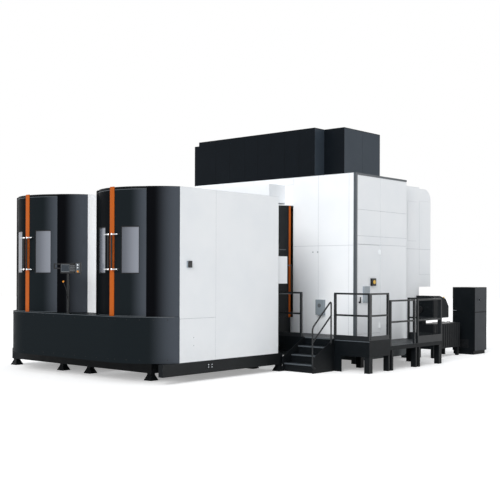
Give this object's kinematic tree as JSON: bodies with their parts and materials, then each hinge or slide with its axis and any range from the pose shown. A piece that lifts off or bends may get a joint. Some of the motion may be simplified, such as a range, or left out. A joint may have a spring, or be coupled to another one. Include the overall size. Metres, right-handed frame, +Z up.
{
  "type": "cnc machining center",
  "caption": "Horizontal machining centre with two pallet loading stations behind curved doors, a walkway with stair and guard rails, chip conveyor, tank and electrical cabinet.",
  "frame": {"origin": "middle of the footprint, on the floor", "axes": "+X to the right seen from the loading stations, +Y from the stations towards the machine, +Z up"},
  "size_m": [7.88, 12.1794, 6.09],
  "materials": {
    "black_paint": "satin",
    "machined_steel": "satin",
    "white_paint": "satin",
    "black_tube": "satin",
    "grey_paint": "satin",
    "casting": "matte",
    "deck_plate": "satin",
    "window_pane": "glossy",
    "orange_paint": "satin",
    "dark_plastic": "matte",
    "stop_red": "glossy"
  },
  "bodies": {
    "machine": {"station_base_frame": "black_paint", "station_floor": "machined_steel", "station_skirt": "black_paint", "station_walls": "white_paint", "station_roofs": "black_paint", "station_corner_panels": "black_paint", "console_post": "black_tube", "front_panel": "white_paint", "right_panel": "white_paint", "left_panel": "white_paint", "enclosure_roof": "white_paint", "rear_housing": "white_paint", "corner_trim": "grey_paint", "roof_cover": "black_paint", "operator_sill": "black_paint", "machine_bed": "casting", "magazine_housing": "white_paint", "walkway_deck": "deck_plate", "walkway_legs": "black_paint", "lower_deck": "deck_plate", "stair": "black_paint", "guard_rails": "black_tube", "stair_handrail": "black_tube", "coolant_tank": "black_paint", "chip_conveyor": "black_paint", "electrical_cabinet": "black_paint", "wall_boxes": "grey_paint"},
    "right_station_right_leaf": {"right_station_right_door": "black_paint", "right_station_right_door_window": "window_pane", "right_station_right_door_handle": "black_tube", "right_station_door_strip": "orange_paint"},
    "right_station_left_leaf": {"right_station_left_door": "black_paint", "right_station_left_door_window": "window_pane", "right_station_left_door_handle": "black_tube"},
    "right_pallet_station": {"right_turntable": "machined_steel", "right_pallet": "machined_steel"},
    "left_station_right_leaf": {"left_station_right_door": "black_paint", "left_station_right_door_window": "window_pane", "left_station_right_door_handle": "black_tube", "left_station_door_strip": "orange_paint"},
    "left_station_left_leaf": {"left_station_left_door": "black_paint", "left_station_left_door_window": "window_pane", "left_station_left_door_handle": "black_tube"},
    "left_pallet_station": {"left_turntable": "machined_steel", "left_pallet": "machined_steel"},
    "console": {"console_head": "dark_plastic"},
    "stop_button": {"console_stop_button": "stop_red"},
    "operator_door": {"operator_door": "black_paint", "operator_door_strip": "orange_paint", "operator_door_handle": "black_tube"},
    "access_door": {"access_door": "white_paint"},
    "access_lever": {"access_door_lever": "grey_paint"},
    "column": {"column": "casting"},
    "spindle_head": {"spindle_head": "casting"},
    "spindle": {"spindle": "machined_steel"},
    "table_saddle": {"table_saddle": "casting"},
    "rotary_table": {"rotary_table": "machined_steel"},
    "magazine_disc": {"magazine_disc": "machined_steel"},
    "cabinet_door": {"cabinet_door": "black_paint"},
    "isolator_knob": {"isolator_knob": "dark_plastic"}
  },
  "joints": [
    {"name": "right_station_right_leaf_turn", "type": "hinge", "parent": "machine", "child": "right_station_right_leaf", "pos_m": [0.72498, -4.58035, 1.4003], "axis": [0, 0, 1], "range_deg": [0, 25]},
    {"name": "right_station_left_leaf_turn", "type": "hinge", "parent": "machine", "child": "right_station_left_leaf", "pos_m": [0.72498, -4.58035, 1.4003], "axis": [0, 0, 1], "range_deg": [-25, 0]},
    {"name": "right_pallet_turn", "type": "hinge", "parent": "machine", "child": "right_pallet_station", "pos_m": [0.72498, -4.16035, 1.16], "axis": [0, 0, 1], "continuous": true},
    {"name": "left_station_right_leaf_turn", "type": "hinge", "parent": "machine", "child": "left_station_right_leaf", "pos_m": [-2.30498, -4.58035, 1.4003], "axis": [0, 0, 1], "range_deg": [0, 25]},
    {"name": "left_station_left_leaf_turn", "type": "hinge", "parent": "machine", "child": "left_station_left_leaf", "pos_m": [-2.30498, -4.58035, 1.4003], "axis": [0, 0, 1], "range_deg": [-25, 0]},
    {"name": "left_pallet_turn", "type": "hinge", "parent": "machine", "child": "left_pallet_station", "pos_m": [-2.30498, -4.16035, 1.16], "axis": [0, 0, 1], "continuous": true},
    {"name": "console_swivel", "type": "hinge", "parent": "machine", "child": "console", "pos_m": [-0.79, -5.86935, 2.3], "axis": [0, 0, 1], "range_deg": [-90, 60]},
    {"name": "stop_button_press", "type": "slide", "parent": "console", "child": "stop_button", "axis": [-0.6561, 0.7547, 0], "range_m": [0, 0.006], "stiffness_N_per_m": 400},
    {"name": "operator_door_turn", "type": "hinge", "parent": "machine", "child": "operator_door", "pos_m": [0.08025, 0.29965, 1.17], "axis": [0, 0, 1], "range_deg": [-90, 0]},
    {"name": "access_door_swing", "type": "hinge", "parent": "machine", "child": "access_door", "pos_m": [2.77725, 1.33965, 0.8], "axis": [0, 0, 1], "range_deg": [0, 95]},
    {"name": "access_lever_turn", "type": "hinge", "parent": "access_door", "child": "access_lever", "pos_m": [2.76496, 0.39965, 1.6], "axis": [1, 0, 0], "range_deg": [-90, 0]},
    {"name": "column_travel", "type": "slide", "parent": "machine", "child": "column", "axis": [1, 0, 0], "range_m": [-0.5, 0.5]},
    {"name": "head_travel", "type": "slide", "parent": "column", "child": "spindle_head", "axis": [0, 0, 1], "range_m": [-0.45, 0.9]},
    {"name": "spindle_turn", "type": "hinge", "parent": "spindle_head", "child": "spindle", "pos_m": [-1.49504, 1.81965, 2.4], "axis": [0, -1, 0], "continuous": true},
    {"name": "table_travel", "type": "slide", "parent": "machine", "child": "table_saddle", "axis": [0, 1, 0], "range_m": [0, 0.4]},
    {"name": "table_turn", "type": "hinge", "parent": "table_saddle", "child": "rotary_table", "pos_m": [-1.49504, 1.13965, 0.82], "axis": [0, 0, 1], "continuous": true},
    {"name": "magazine_turn", "type": "hinge", "parent": "machine", "child": "magazine_disc", "pos_m": [1.60495, 3.98465, 3.33], "axis": [0, 1, 0], "continuous": true},
    {"name": "cabinet_door_swing", "type": "hinge", "parent": "machine", "child": "cabinet_door", "pos_m": [3.40496, 6.08965, 0.1], "axis": [0, 0, 1], "range_deg": [0, 110]},
    {"name": "isolator_knob_turn", "type": "hinge", "parent": "cabinet_door", "child": "isolator_knob", "pos_m": [3.40496, 5.60965, 1.58], "axis": [1, 0, 0], "range_deg": [0, 90]}
  ]
}
